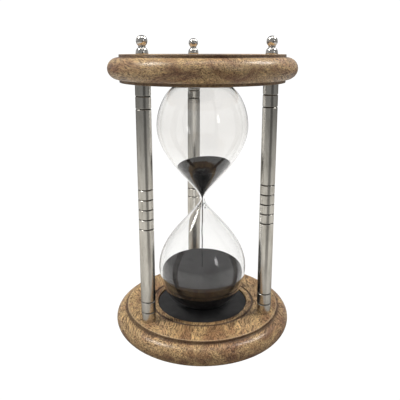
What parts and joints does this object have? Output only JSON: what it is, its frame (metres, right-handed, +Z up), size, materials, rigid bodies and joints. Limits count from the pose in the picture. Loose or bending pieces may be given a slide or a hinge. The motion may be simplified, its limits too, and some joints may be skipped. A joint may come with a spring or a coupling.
{
  "type": "hourglass",
  "caption": "Hourglass: a waisted glass of dark sand between turned wooden boards, held by ringed metal posts with ball finials.",
  "frame": {"origin": "centre of the base board's underside, where it stands on the table", "axes": "+Z up along the glass, +Y towards the post that stands at the back"},
  "size_m": [0.154, 0.154, 0.2546],
  "materials": {
    "wood": "satin lacquer",
    "satin_post": "satin nickel",
    "polished_finial": "polished nickel",
    "zinc_fastener": "zinc plated",
    "felt": "black felt",
    "clear_glass": "clear, blown",
    "sand": "fine dark sand",
    "cork": "cork"
  },
  "bodies": {
    "root": {"base_board": "wood", "top_board": "wood", "base_pad": "felt", "top_pad": "felt", "underside_felt": "felt", "top_inlay": "felt", "post_front_left": "satin_post", "post_front_right": "satin_post", "post_back": "satin_post", "tie_rod_front_left": "zinc_fastener", "tie_rod_front_right": "zinc_fastener", "tie_rod_back": "zinc_fastener", "finial_front_left": "polished_finial", "finial_front_right": "polished_finial", "finial_back": "polished_finial", "washer_front_left": "zinc_fastener", "washer_front_right": "zinc_fastener", "washer_back": "zinc_fastener", "nut_front_left": "zinc_fastener", "nut_front_right": "zinc_fastener", "nut_back": "zinc_fastener", "glass_bulb": "clear_glass", "fill_cork": "cork", "upper_sand": "sand", "lower_sand": "sand", "falling_sand": "sand"}
  },
  "joints": []
}
